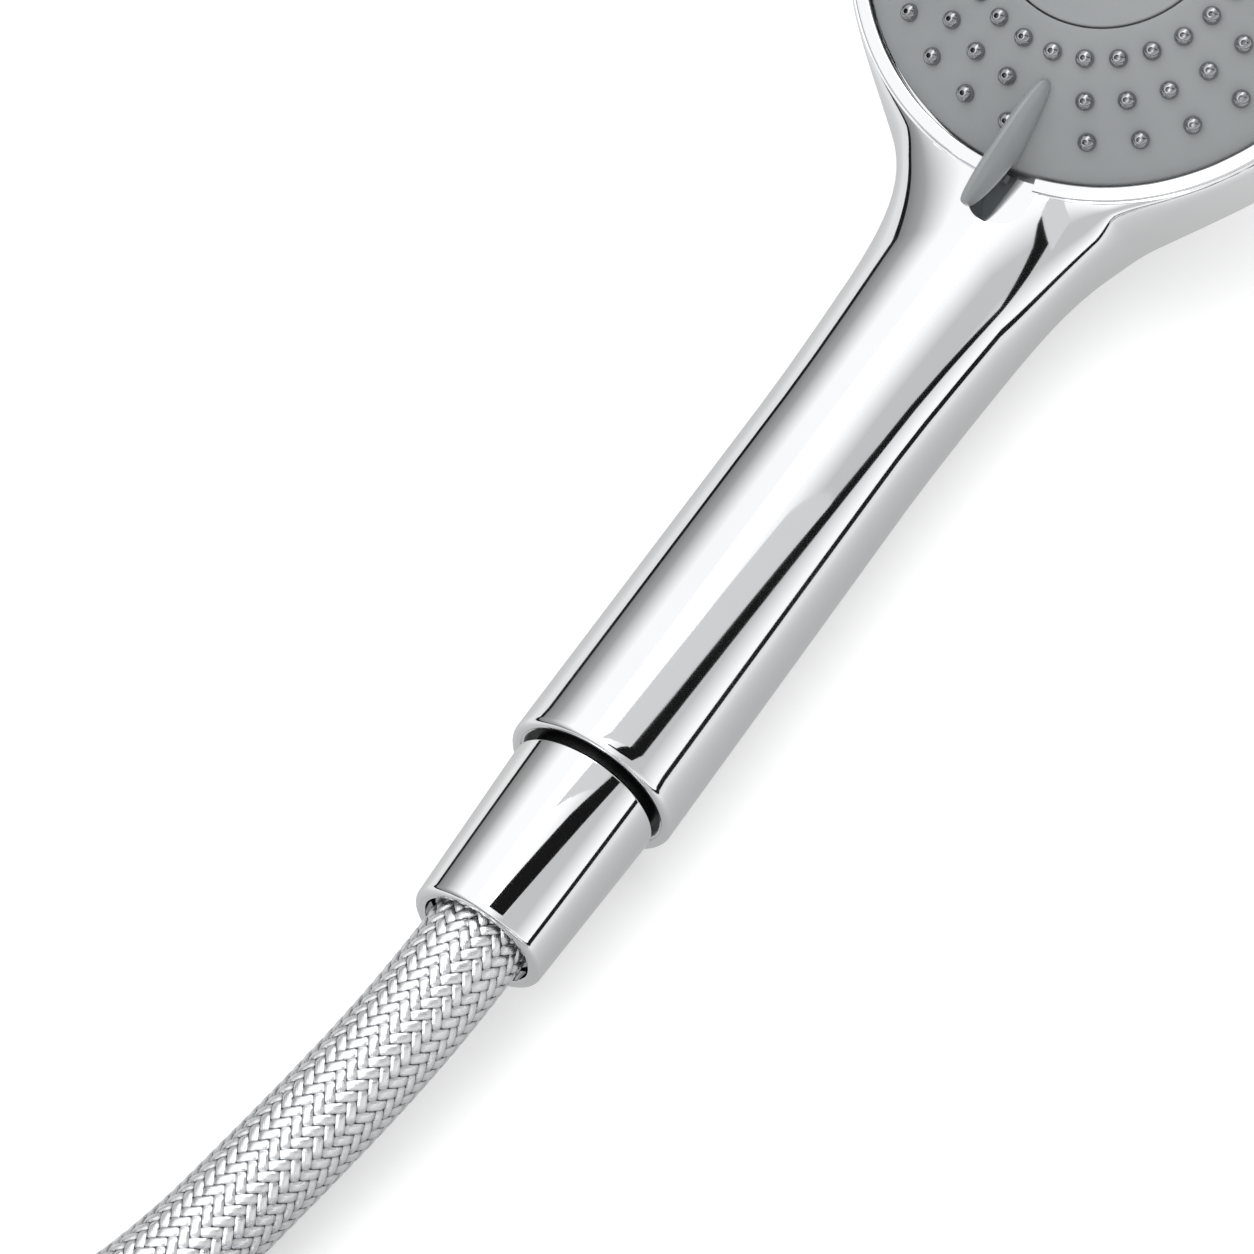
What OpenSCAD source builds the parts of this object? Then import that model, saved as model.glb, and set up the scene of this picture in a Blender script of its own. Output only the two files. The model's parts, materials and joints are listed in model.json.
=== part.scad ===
// Hand shower: a chrome handset with a turnable spray face, on a braided hose with two end nuts.
// Millimetres. The handset lies on its back: +X runs along the handle towards the head, +Z is up,
// and the floor is z = 0. The origin is below the middle of the handset.

/* [Handle] */
// Radius of the round handle
handle_r = 14; // [13.5:0.5:15]
// Radius of the handle's bore
handle_bore_r = 11.8; // [11.5:0.1:12]
// Where the straight handle ends and the neck begins, from the open end
handle_len = 98; // [90:1:104]

/* [Head] */
// Distance of the spray face's centre from the handle's open end, along the handle
face_u = 162.5; // [160:0.5:165]
// Height of the spray face's centre above the handle's axis
face_up = 34; // [32:0.5:36]
// Tilt of the spray face against the handle, in degrees
face_tilt = 28; // [26:1:30]
// Radius of the grey face plate
plate_r = 41.7; // [41:0.1:42]
// Height of the face plate's dome above its own edge
dome_h = 12; // [8:1:12]
// Outer radius of the chrome trim ring
ring_r = 44.7; // [44.5:0.1:45]
// Depth of the head behind the edge of the spray face
head_depth = 31; // [30:0.5:33]

/* [Spray face] */
// Radius of the centre cap
cap_r = 19; // [17:0.5:20]
// Nozzles in the inner ring
nozzle_count = 28; // [20:1:28]
// Radius of a nozzle's bead
bead_r = 1.55; // [1.3:0.05:1.7]
// Radius of a nozzle's jet hole
jet_r = 0.5; // [0.4:0.05:0.6]
// Angle that the lever turns through, in degrees
lever_throw = 5; // [4:0.5:6]

/* [Hose] */
// Outside diameter of the braided hose
hose_d = 15.6; // [14:0.2:16]
// Radius of the coil's outer turn, at the middle of the hose
coil_r = 101; // [95:1:101]

/* [Hidden] */

$fn = 96;
chrome = "silver";
grey = "slategray";
brass = "goldenrod";
rubber = "dimgray";
plastic = "whitesmoke";

// Placing: the handset's bounding box is centred on the origin.
base_x = -90.4;
axis_z = handle_r;

// Shell thickness, and the running gap of the turned pieces.
wall = 2.2;
run = 0.05;

// The spray face: a shell of a sphere whose crown is dome_h above the plate's edge.
dome_r = (plate_r * plate_r + dome_h * dome_h) / (2 * dome_h);
plate_t = 2.4;
skirt_t = 2.4;
skirt_depth = 6;
// Nozzle rings. The lever takes the place of a nozzle or two in the middle and outer ones.
ring_rows = [23.8, 30, 35.8];
ring_count = [nozzle_count, nozzle_count - 1, nozzle_count - 2];
ring_first = [183.2, 197.3, 198.5];
ring_span = [360 - 360 / nozzle_count, 334.3, 338.3];
// The lever's notch and pocket lie round the middle of its travel.
lever_mid = 181;
lever_angle = lever_mid - lever_throw / 2;
notch_half = 6.5;
pocket_r = 5.3;
pocket_at = 47.4;
detent_at = 29;

// Back of the head: a superellipse below the widest level, a slight taper above it.
bowl_r = 45.8;
bowl_wide_at = -9;
bowl_power = 2.8;
rim_r = 45.1;
rim_top = 0.2;

// The water tube's bend, and the height at which it enters the chamber's side.
bend_r = 20;
bend_u = 121.3;
port_h = -13;

// Inlet stack, measured along the handle from its open end.
thread_r = 10.48;
tap_thread_r = 9.32;
stub_end = -11;
washer_t = 2.2;
flange_t = 2;
nut_len = 29.5;
nut_top_r = 12;
nut_bottom_r = 10.85;
nut_mouth_r = 8.9;
ferrule_end = -27;
tube_r = 5.5;
tube_bore_r = 4.2;

// Hose: one lane beside the other, a hose diameter apart.
hose_r = hose_d / 2;
lane_2_r = coil_r - hose_d;
coil_x = -266;
coil_y = -62.8;
end_z = 29.8;
// Route of the free hose from the handset to the coil: x, y and height of its middle.
lead_route = [[-117.4, 0, 14], [-126, 0.2, 14], [-135, 0.9, 13.4], [-144, 2, 12.7], [-152, 3.3, 11.9],
              [-160, 4.8, 11], [-168, 6.4, 10.1], [-178, 8.5, 9.1], [-190, 12, 8.4],
              [-202, 17.4, 7.9], [-215.5, 24.7, 7.8], [-228.2, 30.8, 7.8], [-241.6, 35.2, 7.8]];
// Last stretch, which climbs on top of the coil: angle and radius round the coil's middle, height.
tail_turn = [[-30, 85.4, 7.8], [-18.5, 84.7, 8.4], [-6, 83.3, 11.2], [5.5, 82.1, 15.2],
             [18, 82.1, 19.6], [30, 84.2, 22.6], [42, 87.3, 23.8], [54, 90.5, 23.5],
             [66, 92.5, 22.3], [78, 93.2, 21.8], [90, 93.2, 21.8], [102, 93.2, 21.8],
             [114, 93.2, 21.8], [126, 93.2, 21.8], [138, 93.2, 21.8], [147, 93.2, 22.4],
             [156.5, 93.2, 24], [166, 93.2, 26.3], [175.5, 93.2, 28.8]];
tail_end_x = -93;
tail_end_y = -8;
tail_route = concat([for (p = tail_turn) [p[1] * cos(p[0]), p[1] * sin(p[0]), p[2]]],
                    [[tail_end_x, tail_end_y, end_z]]);

// ---------------------------------------------------------------- frames
// Local Z runs along the handle, from its open end towards the head.
module handle_frame() { translate([base_x, 0, axis_z]) rotate([0, 90, 0]) children(); }

// Local Z is the spray face's normal, local X points away from the handle.
module face_frame() {
    translate([base_x + face_u, 0, axis_z + face_up]) rotate([0, -face_tilt, 0]) children();
}

// Local Z runs from the far nut's open end back into the hose.
module end_frame() {
    translate([coil_x + tail_end_x, coil_y + tail_end_y, end_z]) rotate([-90, 0, 0]) children();
}

// ---------------------------------------------------------------- shared shapes
module tube(r_out, r_in, z0, z1) {
    translate([0, 0, z0]) difference() {
        cylinder(r = r_out, h = z1 - z0);
        translate([0, 0, -1]) cylinder(r = r_in, h = z1 - z0 + 2);
    }
}

module o_ring(radius, cord_r) { rotate_extrude() translate([radius, 0]) circle(r = cord_r, $fn = 32); }

// Ball of the spray face's sphere, shrunk by inset.
module dome_ball(inset) { translate([0, 0, dome_h - dome_r]) sphere(r = dome_r - inset); }

// Height of the spray face above its edge plane, at a distance from its centre.
function dome_height(r) = sqrt(dome_r * dome_r - r * r) + dome_h - dome_r;

// A wedge of a cylinder between two radii, centred on an angle.
module sector(r0, r1, z0, z1, angle, half) {
    rotate([0, 0, angle - half]) translate([0, 0, z0])
        rotate_extrude(angle = 2 * half) translate([r0, 0]) square([r1 - r0, z1 - z0]);
}

// Spring coil, drawn as a stack of rings joined by a seam rod so that it stays one solid.
module spring(radius, wire_r, length, turns) {
    pitch = (length - 2 * wire_r) / (turns - 1);
    for (i = [0 : turns - 1]) translate([0, 0, wire_r + i * pitch]) o_ring(radius, wire_r);
    translate([radius, 0, wire_r]) cylinder(r = wire_r * 0.8, h = length - 2 * wire_r, $fn = 24);
}

// Outline of the head's back, from its widest level to the middle of its back.
function bowl_outline(inset) =
    let (a = bowl_r - inset, b = head_depth + bowl_wide_at - inset, e = 2 / bowl_power)
    [for (t = [0 : 7.5 : 82.5]) [a * pow(cos(t), e), bowl_wide_at - b * pow(sin(t), e)]];

module head_body(inset, top) {
    rotate_extrude() polygon(concat(
        [[0, inset - head_depth], [0, top], [rim_r - inset, top], [bowl_r - 0.25 - inset, -4]],
        bowl_outline(inset)));
}

// Thin disc across the handle, widened sideways, as one station of the neck.
module neck_station(u, up, half_high, half_wide) {
    handle_frame() translate([-up, 0, u]) scale([half_high, half_wide, 1]) cylinder(r = 1, h = 0.5, $fn = 48);
}

// ---------------------------------------------------------------- handset
module neck() {
    hull() { neck_station(handle_len - 0.5, 0, 13.99, 13.99); neck_station(113, 0, 14, 15.6); }
    hull() { neck_station(113, 0, 14, 15.6); neck_station(125, -0.5, 13.2, 18.5); }
    hull() {
        neck_station(125, -0.5, 13.2, 18.5);
        face_frame() {
            translate([-14, 0, -24]) cylinder(r = 28, h = 12, $fn = 48);
            translate([-14, 0, -28]) cylinder(r = 22, h = 1, $fn = 48);
        }
    }
}

// Rounded pocket in the neck that a finger reaches the lever through.
module finger_pocket() {
    face_frame() rotate([0, 0, lever_mid]) translate([pocket_at, 0, -1.2]) {
        cylinder(r = pocket_r, h = 12);
        translate([-8, -pocket_r, 0]) cube([8, 2 * pocket_r, 12]);
    }
}

// Path of the water tube at a radius: along the handle, round a bend, into the chamber's side.
module tube_path(radius, from_u, reach) {
    handle_frame() translate([0, 0, from_u]) cylinder(r = radius, h = bend_u - from_u);
    translate([base_x + bend_u, 0, axis_z + bend_r]) rotate([90, 0, 0]) rotate([0, 0, -90])
        rotate_extrude(angle = face_tilt) translate([bend_r, 0]) circle(r = radius, $fn = 48);
    translate([base_x + bend_u, 0, axis_z + bend_r]) rotate([0, -face_tilt, 0])
        translate([0, 0, -bend_r]) rotate([0, 90, 0]) cylinder(r = radius, h = reach);
}

module handset_shell() {
    color(chrome) difference() {
        union() {
            handle_frame() {
                translate([0, 0, 2.2]) cylinder(r = handle_r, h = handle_len - 2.2);
                translate([0, 0, 1.1]) cylinder(r1 = handle_r - 1.1, r2 = handle_r, h = 1.1);
            }
            neck();
            face_frame() head_body(0, rim_top);
        }
        handle_frame() {
            translate([0, 0, -1]) cylinder(r = handle_bore_r, h = 41);
            translate([0, 0, 38]) cylinder(r = 9.5, h = 64);
            translate([0, 0, 100]) cylinder(r = 7.6, h = 26);
        }
        // Way for the water tube into the head.
        face_frame() translate([-51, 0, port_h]) rotate([0, 90, 0]) cylinder(r = 6.6, h = 11);
        face_frame() head_body(wall, 1);
        finger_pocket();
    }
}

module trim_ring() {
    color(chrome) face_frame() difference() {
        union() {
            tube(ring_r, plate_r + 0.4, 0.3, 0.9);
            tube(rim_r - wall - 0.1, plate_r + 0.4, -6.3, 0.4);
        }
        sector(40, 46, -1.2, 2, lever_mid, notch_half);
    }
}

// ---------------------------------------------------------------- spray face
module face_plate() {
    color(grey) face_frame() difference() {
        union() {
            intersection() {
                difference() { dome_ball(0); dome_ball(plate_t); }
                cylinder(r = plate_r, h = dome_h + 1);
            }
            tube(plate_r, plate_r - skirt_t, -skirt_depth, 0.4);
        }
        // Seat of the centre cap, and the hole for the screwdriver.
        difference() {
            cylinder(r = cap_r, h = dome_h + 1);
            dome_ball(1.3);
        }
        cylinder(r = 6, h = dome_h + 1);
        for (k = [0 : 2]) nozzle_places(k) translate([0, 0, -6]) cylinder(r = 1.2, h = 12, $fn = 24);
    }
}

module nozzle_places(k) {
    r = ring_rows[k];
    for (i = [0 : ring_count[k] - 1])
        rotate([0, 0, ring_first[k] + i * ring_span[k] / (ring_count[k] - 1)])
            translate([r, 0, dome_height(r)]) children();
}

// One jet insert: a shank in the plate and a round bead above it.
module nozzle() {
    rotate_extrude($fn = 24) difference() {
        union() {
            translate([0, -3.4]) square([1.2, 3.6]);
            intersection() {
                translate([0, 0.3]) circle(r = bead_r, $fn = 24);
                translate([0, -0.9]) square([2, 3]);
            }
        }
        translate([-1, -4]) square([1 + jet_r, 7]);
        translate([-2, -4]) square([2, 7]);
    }
}

module nozzles_inner() { color("gray") face_frame() nozzle_places(0) nozzle(); }
module nozzles_middle() { color("gray") face_frame() nozzle_places(1) nozzle(); }
module nozzles_outer() { color("gray") face_frame() nozzle_places(2) nozzle(); }

module centre_cap() {
    color(grey) face_frame() {
        intersection() {
            difference() { dome_ball(0); dome_ball(1.2); }
            cylinder(r = cap_r - 0.15, h = dome_h + 1);
        }
        tube(5.9, 4.9, dome_h - 3.6, dome_h - 1);
    }
}

// Leaf-shaped fin on the edge of the spray face, with a foot that stands in the trim ring's notch.
module selector_lever() {
    color(grey) face_frame() rotate([0, 0, lever_angle]) {
        difference() {
            hull() {
                translate([29.6, 2.3, 6.4]) sphere(r = 1.3, $fn = 24);
                translate([37, 1.2, 3]) cylinder(r1 = 2, r2 = 1, h = 5.4, $fn = 32);
                translate([44, 0.1, 3]) cylinder(r1 = 2, r2 = 1, h = 4.4, $fn = 32);
                translate([48.6, -0.6, 4.2]) sphere(r = 1.6, $fn = 24);
            }
            // The fin sits on the dome.
            dome_ball(-0.02);
            translate([0, -6, -3]) cube([60, 12, 4.6]);
            // Room for the beads beside it.
            rotate([0, 0, -lever_angle]) for (k = [1, 2])
                nozzle_places(k) cylinder(r = bead_r + 0.1, h = 5, center = true, $fn = 24);
        }
        translate([plate_r - 1, -1.6, -0.6]) cube([3.4, 3.2, 4.6]);
    }
}

module selector_disc() {
    color(plastic) face_frame() difference() {
        union() {
            translate([0, 0, -skirt_depth]) cylinder(r = plate_r - skirt_t - run, h = 2.6);
            translate([0, 0, -skirt_depth]) cylinder(r = 6.5, h = 5.4);
            for (a = [0 : 60 : 300]) rotate([0, 0, a]) translate([6, -0.8, -3.5]) cube([32, 1.6, 2]);
        }
        translate([0, 0, -9]) cylinder(r = 3 + run, h = 12);
        for (a = [30 : 60 : 330]) rotate([0, 0, a]) translate([20, 0, -7]) cylinder(r = 3, h = 5);
        // Track of the detent's ball, with a dimple at each end of the travel.
        sector(detent_at - 1.9, detent_at + 1.9, -7, -5.3, -lever_throw / 2, lever_throw / 2 + 3.8);
        for (a = [0, -lever_throw]) rotate([0, 0, a]) translate([detent_at, 0, -7]) sphere(r = 1.9);
    }
}

module selector_seal() { color(rubber) face_frame() translate([0, 0, -7.5]) o_ring(34.5, 1.2); }

// ---------------------------------------------------------------- fixed middle of the head
module water_chamber() {
    color(plastic) face_frame() difference() {
        union() {
            translate([0, 0, -9.4]) cylinder(r = 43, h = 3);
            tube(40.2, 36.4, -19, -9.2);
            tube(37, 33.2, -15.6, -9.2);
            translate([0, 0, -16.4]) cylinder(r = 7, h = 8);
            translate([detent_at, 0, -15.6]) cylinder(r = 3.4, h = 7);
            translate([-42.8, 0, port_h]) rotate([0, 90, 0]) cylinder(r = 6.4, h = 6);
        }
        translate([0, 0, -7.5]) o_ring(34.5, 1.25);
        translate([0, 0, -17]) cylinder(r = 3, h = 20);
        for (a = [60 : 60 : 300]) rotate([0, 0, a]) translate([18, 0, -12]) cylinder(r = 3.2, h = 8);
        translate([detent_at, 0, -14.4]) cylinder(r = 1.65, h = 10);
        // Socket of the water tube, and its port into the chamber.
        translate([-44, 0, port_h]) rotate([0, 90, 0]) cylinder(r = tube_r + run, h = 5.2);
        translate([-40, 0, port_h]) rotate([0, 90, 0]) cylinder(r = 3.4, h = 9);
    }
}

module pivot_post() {
    color(brass) face_frame() difference() {
        union() {
            translate([0, 0, -17.4]) cylinder(r = 3, h = 17.1);
            translate([0, 0, -18.4]) cylinder(r = 5.5, h = 2);
        }
        translate([0, 0, -9]) cylinder(r = 1.6, h = 12);
    }
}

module pivot_washer() { color("silver") face_frame() tube(6, 1.7, -0.3, 0.5); }

module pivot_screw() {
    color("silver") face_frame() difference() {
        union() {
            translate([0, 0, -8.4]) cylinder(r = 1.6, h = 9.4);
            translate([0, 0, 0.5]) cylinder(r = 3, h = 2);
        }
        for (a = [0, 90]) rotate([0, 0, a]) translate([-2, -0.4, 1.5]) cube([4, 0.8, 2]);
    }
}

module detent_ball() {
    color("silver") face_frame() translate([detent_at, 0, -7.1]) sphere(r = 1.6, $fn = 48);
}

module detent_spring() {
    color("silver") face_frame() translate([detent_at, 0, -14.3]) spring(1.2, 0.2, 5.5, 7);
}

// Back of the chamber.
module chamber_cover() {
    color(plastic) face_frame() difference() {
        union() {
            translate([0, 0, -19]) cylinder(r = 36.3, h = 2.6);
            for (a = [0 : 45 : 315]) rotate([0, 0, a]) translate([8, -0.8, -21]) cube([24, 1.6, 2.4]);
        }
        translate([0, 0, -20]) cylinder(r = 5.6, h = 5);
    }
}

module cover_seal() { color(rubber) face_frame() tube(36.2, 33.4, -16.4, -15.6); }

// ---------------------------------------------------------------- water way in the handle
module water_tube() {
    color(plastic) difference() {
        tube_path(tube_r, 16, 4);
        tube_path(tube_bore_r, 15, 5);
    }
}

module tube_seal() { color(rubber) handle_frame() tube(tube_r + 1.2, tube_r, 19, 20.8); }

module inlet_insert() {
    color(brass) handle_frame() difference() {
        union() {
            translate([0, 0, 3]) cylinder(r = handle_bore_r, h = 20);
            translate([0, 0, stub_end]) cylinder(r = thread_r, h = 15);
        }
        translate([0, 0, stub_end - 1]) cylinder(r = 7.6, h = 22);
        translate([0, 0, 9]) cylinder(r = tube_bore_r, h = 12);
        translate([0, 0, 16]) cylinder(r = tube_r, h = 9);
        translate([0, 0, 18.9]) cylinder(r = tube_r + 1.25, h = 2);
    }
}

module strainer() {
    color("silver") handle_frame() translate([0, 0, stub_end + 0.3]) difference() {
        cylinder(r = 7.5, h = 1);
        for (q = [-5 : 2.5 : 5], p = [-5 : 2.5 : 5])
            if (q * q + p * p < 40) translate([q, p, -1]) cylinder(r = 0.8, h = 3, $fn = 24);
    }
}

module flow_restrictor() {
    color("limegreen") handle_frame() translate([0, 0, -9.6]) difference() {
        cylinder(r = 7.5, h = 3);
        translate([0, 0, -1]) cylinder(r = 1.8, h = 5);
        for (a = [0 : 60 : 300]) rotate([0, 0, a]) translate([4.6, 0, -1]) cylinder(r = 1, h = 5, $fn = 24);
    }
}

// Cartridge with its seat at the inlet end and a spider that guides the poppet's stem.
module check_valve_body() {
    color("white") handle_frame() {
        tube(7.5, 5.6, -6.4, 8.8);
        tube(7, 3.2, -6.4, -4.8);
        tube(2.6, 1.25, 6.6, 8.8);
        for (a = [0 : 90 : 270]) rotate([0, 0, a]) translate([2.2, -0.7, 6.6]) cube([4, 1.4, 2.2]);
    }
}

module check_valve_poppet() {
    color("orange") handle_frame() {
        translate([0, 0, -4.7]) cylinder(r = 4.4, h = 1.6);
        translate([0, 0, -3.2]) cylinder(r = 1.2, h = 12.2);
    }
}

module check_valve_spring() { color("silver") handle_frame() translate([0, 0, -3]) spring(3.4, 0.3, 9.4, 7); }

// ---------------------------------------------------------------- hose end at the handset
module hose_washer_near() { color(rubber) handle_frame() tube(9.2, 6, stub_end - washer_t, stub_end); }

module hose_nipple_near() {
    color(brass) handle_frame() difference() {
        union() {
            translate([0, 0, stub_end - washer_t - flange_t]) cylinder(r = 9.6, h = flange_t);
            translate([0, 0, ferrule_end]) cylinder(r = 5.2, h = 12.5);
        }
        translate([0, 0, ferrule_end - 1]) cylinder(r = 4, h = 20);
    }
}

module hose_ferrule_near() {
    color("silver") handle_frame() difference() {
        tube(8.5, 5.2, ferrule_end, -15.4);
        for (z = [-24, -21, -18]) translate([0, 0, z]) rotate_extrude() translate([8.9, 0]) circle(r = 0.7, $fn = 24);
    }
}

// Loose nut: plain thread bore at the top, a shoulder that pulls the nipple's flange.
module conical_nut() {
    color(chrome) handle_frame() difference() {
        union() {
            translate([0, 0, -nut_len + 0.9]) cylinder(r1 = nut_bottom_r, r2 = nut_top_r, h = nut_len - 0.9);
            translate([0, 0, -nut_len]) cylinder(r1 = nut_bottom_r - 0.7, r2 = nut_bottom_r, h = 0.9);
        }
        translate([0, 0, -15.5]) cylinder(r = thread_r + 0.07, h = 20);
        translate([0, 0, -nut_len - 1]) cylinder(r = nut_mouth_r, h = 20);
    }
}

// ---------------------------------------------------------------- hose
// Sweep of a round hose along route points: rings across the route, closed at both ends.
function unit(v) = v / norm(v);
function heading(route, i) = unit(route[min(i + 1, len(route) - 1)] - route[max(i - 1, 0)]);
function hose_ring(p, t, r, sides) =
    let (across = unit(cross([0, 0, 1], t)), up = cross(t, across))
    [for (k = [0 : sides - 1]) p + r * (cos(k * 360 / sides) * across + sin(k * 360 / sides) * up)];

module swept_hose(route, start, end, sides = 12) {
    last = len(route) - 1;
    rings = [for (i = [0 : last])
        hose_ring(route[i], i == 0 ? start : i == last ? end : heading(route, i), hose_r, sides)];
    points = [for (ring = rings) each ring];
    skin = [for (i = [0 : last - 1], k = [0 : sides - 1], half = [0, 1])
        let (a = i * sides + k, b = i * sides + (k + 1) % sides)
        half == 0 ? [a, b, b + sides] : [a, b + sides, a + sides]];
    ends = [[for (k = [sides - 1 : -1 : 0]) k], [for (k = [0 : sides - 1]) last * sides + k]];
    polyhedron(points = points, faces = concat(skin, ends), convexity = 6);
}

module hose_lead() { color("gray") swept_hose(lead_route, [-1, 0, 0], [-0.95, 0.31, 0]); }

// The wound turns, as the ring that holds both lanes.
module hose_coil() {
    color("gray") translate([coil_x, coil_y, 0]) rotate_extrude() union() {
        for (r = [coil_r, lane_2_r]) translate([r, hose_r]) circle(r = hose_r, $fn = 48);
        translate([lane_2_r, 0]) square([coil_r - lane_2_r, hose_d]);
    }
}

module hose_tail() {
    color("gray") translate([coil_x, coil_y, 0]) swept_hose(tail_route, [0.5, 0.87, 0], [0, -1, 0]);
}

// ---------------------------------------------------------------- hose end at the wall
module hose_ferrule_far() { color("silver") end_frame() tube(8.6, 5.2, -14, 0); }

module hose_nipple_far() {
    color(brass) end_frame() difference() {
        union() {
            translate([0, 0, -14]) cylinder(r = 5.2, h = 13);
            translate([0, 0, -16]) cylinder(r = 9.0, h = 2);
        }
        translate([0, 0, -17]) cylinder(r = 4, h = 20);
    }
}

// Loose nut with the standard half-inch pipe thread, relieved behind the washer.
module hex_nut() {
    color(chrome) end_frame() difference() {
        union() {
            translate([0, 0, -27]) rotate([0, 0, 30]) cylinder(r = 12 / cos(30), h = 10, $fn = 6);
            translate([0, 0, -17.2]) cylinder(r = 11.4, h = 7);
        }
        translate([0, 0, -28]) cylinder(r = tap_thread_r, h = 9.7);
        translate([0, 0, -18.4]) cylinder(r = 9.6, h = 4.5);
        translate([0, 0, -15]) cylinder(r = 8.9, h = 8);
    }
}

module hose_washer_far() { color(rubber) end_frame() tube(9.0, 6, -18.2, -16); }

handset_shell();
trim_ring();
face_plate();
centre_cap();
selector_lever();
nozzles_inner();
nozzles_middle();
nozzles_outer();
selector_disc();
selector_seal();
pivot_post();
pivot_washer();
pivot_screw();
water_chamber();
chamber_cover();
cover_seal();
detent_ball();
detent_spring();
water_tube();
tube_seal();
inlet_insert();
strainer();
flow_restrictor();
check_valve_body();
check_valve_poppet();
check_valve_spring();
hose_washer_near();
hose_nipple_near();
conical_nut();
hose_ferrule_near();
hose_lead();
hose_coil();
hose_tail();
hose_ferrule_far();
hose_nipple_far();
hex_nut();
hose_washer_far();
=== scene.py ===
"""Hand shower on its braided hose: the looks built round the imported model, in metres."""

import json
import math

import bmesh
import bpy
import numpy as np
from mathutils import Matrix, Vector


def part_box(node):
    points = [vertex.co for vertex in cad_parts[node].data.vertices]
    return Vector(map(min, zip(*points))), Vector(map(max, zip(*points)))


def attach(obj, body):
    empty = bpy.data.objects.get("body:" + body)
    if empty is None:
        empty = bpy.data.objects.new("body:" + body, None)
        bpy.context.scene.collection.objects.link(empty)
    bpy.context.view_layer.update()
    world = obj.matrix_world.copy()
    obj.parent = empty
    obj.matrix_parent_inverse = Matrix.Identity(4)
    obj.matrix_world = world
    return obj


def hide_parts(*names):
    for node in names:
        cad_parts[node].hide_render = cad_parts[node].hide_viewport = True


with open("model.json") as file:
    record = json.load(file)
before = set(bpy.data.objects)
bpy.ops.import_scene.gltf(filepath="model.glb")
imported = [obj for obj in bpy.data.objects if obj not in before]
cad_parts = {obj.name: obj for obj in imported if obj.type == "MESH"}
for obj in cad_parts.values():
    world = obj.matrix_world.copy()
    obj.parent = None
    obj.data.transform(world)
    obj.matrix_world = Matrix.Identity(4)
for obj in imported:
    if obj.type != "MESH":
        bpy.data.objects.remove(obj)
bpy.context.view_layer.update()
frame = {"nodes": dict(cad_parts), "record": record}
MM = 0.001

# ------------------------------------------------------------------ the part's own frame, from its record
joints = {j["name"]: j for j in frame["record"]["behaviour"]["joints"]}
FACE_MIDDLE = Vector(joints["selector_turn"]["pos_m"])
FACE_UP = Vector(joints["selector_turn"]["axis"]).normalized()
SIDE = Vector((0, 1, 0))
FACE_OUT = SIDE.cross(FACE_UP).normalized()
TILT = math.asin(-FACE_UP.x)
HANDLE_R = 14.0
# The handle's open end: the cone nut ends where the handle begins.
HANDLE_START = Vector((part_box("conical_nut")[1][0], 0, HANDLE_R * MM))


def axes(x, y, z, origin):
    """Matrix that takes millimetres in a local frame to metres in the part's frame."""
    turn = Matrix((x, y, z)).transposed().to_4x4()
    return Matrix.Translation(origin) @ turn @ Matrix.Scale(MM, 4)


FACE = axes(FACE_OUT, SIDE, FACE_UP, FACE_MIDDLE)
HANDLE = axes(Vector((0, 0, -1)), SIDE, Vector((1, 0, 0)), HANDLE_START)


# ------------------------------------------------------------------ camera
def add_camera():
    """Long lens, looking down on the handle from the hose's side."""
    data = bpy.data.cameras.new("photo_camera")
    data.sensor_width = 36
    data.lens = 129.2
    camera = bpy.data.objects.new("photo_camera", data)
    bpy.context.scene.collection.objects.link(camera)
    right = Vector((0.5349, -0.8426, -0.0618))
    up = Vector((0.7103, 0.4089, 0.5729))
    turn = Matrix((right, up, right.cross(up))).transposed().to_4x4()
    camera.matrix_world = Matrix.Translation(Vector((-0.37416, -0.22847, 0.57176))) @ turn
    bpy.context.scene.camera = camera


add_camera()


# ------------------------------------------------------------------ mesh helpers
def add_mesh(name, points, faces, place=None):
    """New object in the scene, its points moved by the matrix place."""
    mesh = bpy.data.meshes.new(name)
    mesh.from_pydata([tuple(p) for p in points], [], faces)
    if place is not None:
        mesh.transform(place)
    mesh.update()
    piece = bpy.data.objects.new(name, mesh)
    bpy.context.scene.collection.objects.link(piece)
    return piece


def smooth(piece, angle=35):
    """Smooth shading, with edges sharper than the angle kept sharp."""
    piece.data.polygons.foreach_set("use_smooth", [True] * len(piece.data.polygons))
    piece.data.set_sharp_from_angle(angle=math.radians(angle))
    return piece


def tube_faces(rows, sides):
    """Faces between rings of points that follow one another."""
    faces = []
    for row in range(rows - 1):
        a, b = row * sides, (row + 1) * sides
        faces += [(a + k, a + (k + 1) % sides, b + (k + 1) % sides, b + k) for k in range(sides)]
    return faces


ARC_STEP = 0.26


def round_corners(corners, closed=False):
    """Outline in which each corner (x, y, radius) is rounded by an arc."""
    count = len(corners)
    outline = []
    for i, (x, y, radius) in enumerate(corners):
        here = np.array((x, y), float)
        if radius == 0 or (not closed and i in (0, count - 1)):
            outline.append(here)
            continue
        before = np.array(corners[i - 1][:2], float) - here
        after = np.array(corners[(i + 1) % count][:2], float) - here
        before /= np.linalg.norm(before)
        after /= np.linalg.norm(after)
        half = math.acos(max(-1, min(1, before @ after))) / 2
        reach = radius / math.tan(half)
        middle = here + (before + after) / np.linalg.norm(before + after) * radius / math.sin(half)
        start = here + before * reach - middle
        end = here + after * reach - middle
        turn = math.atan2(start[0] * end[1] - start[1] * end[0], start @ end)
        steps = max(3, int(abs(turn) / ARC_STEP))
        for k in range(steps + 1):
            a = turn * k / steps
            outline.append(middle + np.array((
                start[0] * math.cos(a) - start[1] * math.sin(a),
                start[0] * math.sin(a) + start[1] * math.cos(a))))
    return outline


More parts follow.
